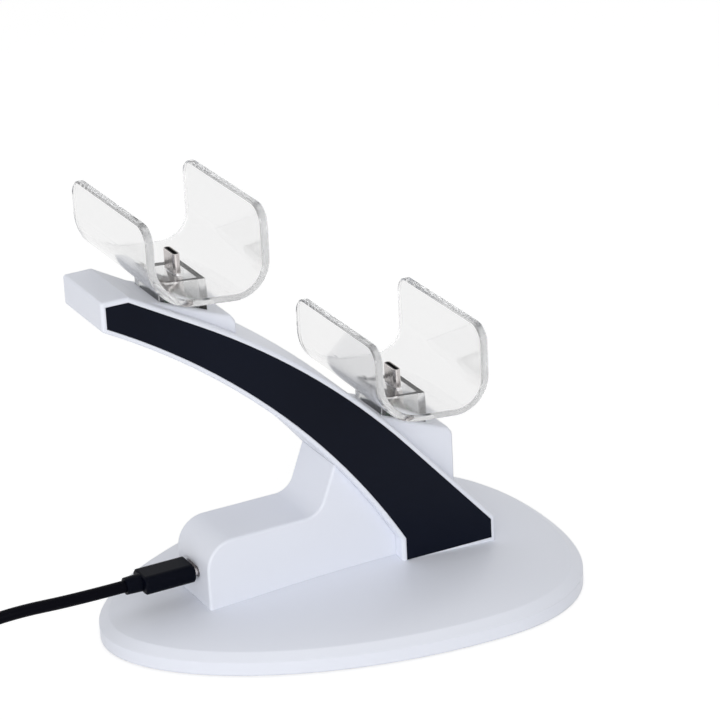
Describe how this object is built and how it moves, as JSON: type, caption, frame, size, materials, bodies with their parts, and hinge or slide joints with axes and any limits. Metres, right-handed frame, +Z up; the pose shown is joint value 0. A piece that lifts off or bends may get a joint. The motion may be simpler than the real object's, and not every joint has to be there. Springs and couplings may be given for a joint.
{
  "type": "controller charging dock",
  "caption": "Desk charging dock for game controllers: egg-shaped weighted base, swept arm with dark side inlays, stepped clear U cradles with charging plugs, and a cable lead.",
  "frame": {"origin": "centre of the box of the dock without its lead, on the table surface", "axes": "+X from the power inlet to the broad end of the base, +Y across the cradles, +Z up"},
  "size_m": [0.2925, 0.1245, 0.1493],
  "materials": {
    "white_plastic": "fine satin moulded ABS",
    "black_panel": "satin moulded inlay",
    "clear_plastic": "clear polished polycarbonate",
    "nickel": "drawn, nickel plated",
    "dark_liner": "moulded",
    "circuit_board": "solder mask",
    "steel_plate": "zinc plated sheet",
    "screw_steel": "plated",
    "rubber": "moulded",
    "wire_jacket": "insulated wire",
    "plug_black": "overmould",
    "cable_jacket": "smooth jacket",
    "tie_strap": "woven hook and loop strap"
  },
  "bodies": {
    "root": {"base_top": "white_plastic", "base_bottom": "white_plastic", "stem_housing": "white_plastic", "arm_frame": "white_plastic", "side_panel_near": "black_panel", "side_panel_far": "black_panel", "cradle_upper": "clear_plastic", "cradle_lower": "clear_plastic", "plug_shell_upper": "nickel", "plug_shell_lower": "nickel", "inlet_shell": "nickel", "lead_plug_shell": "nickel", "far_plug_shell": "nickel", "plug_liner_upper": "dark_liner", "plug_liner_lower": "dark_liner", "inlet_tongue": "dark_liner", "far_plug_tongue": "dark_liner", "charge_chip": "dark_liner", "main_board": "circuit_board", "connector_board_upper": "circuit_board", "connector_board_lower": "circuit_board", "ballast_plate": "steel_plate", "base_screws": "screw_steel", "stem_screws": "screw_steel", "foot_screws": "screw_steel", "rubber_feet": "rubber", "wire_upper": "wire_jacket", "wire_lower": "wire_jacket", "lead_plug_body": "plug_black", "lead_collar": "plug_black", "far_plug_body": "plug_black", "lead_cable": "cable_jacket", "lead_coil": "cable_jacket", "lead_tail": "cable_jacket", "coil_tie": "tie_strap"}
  },
  "joints": []
}
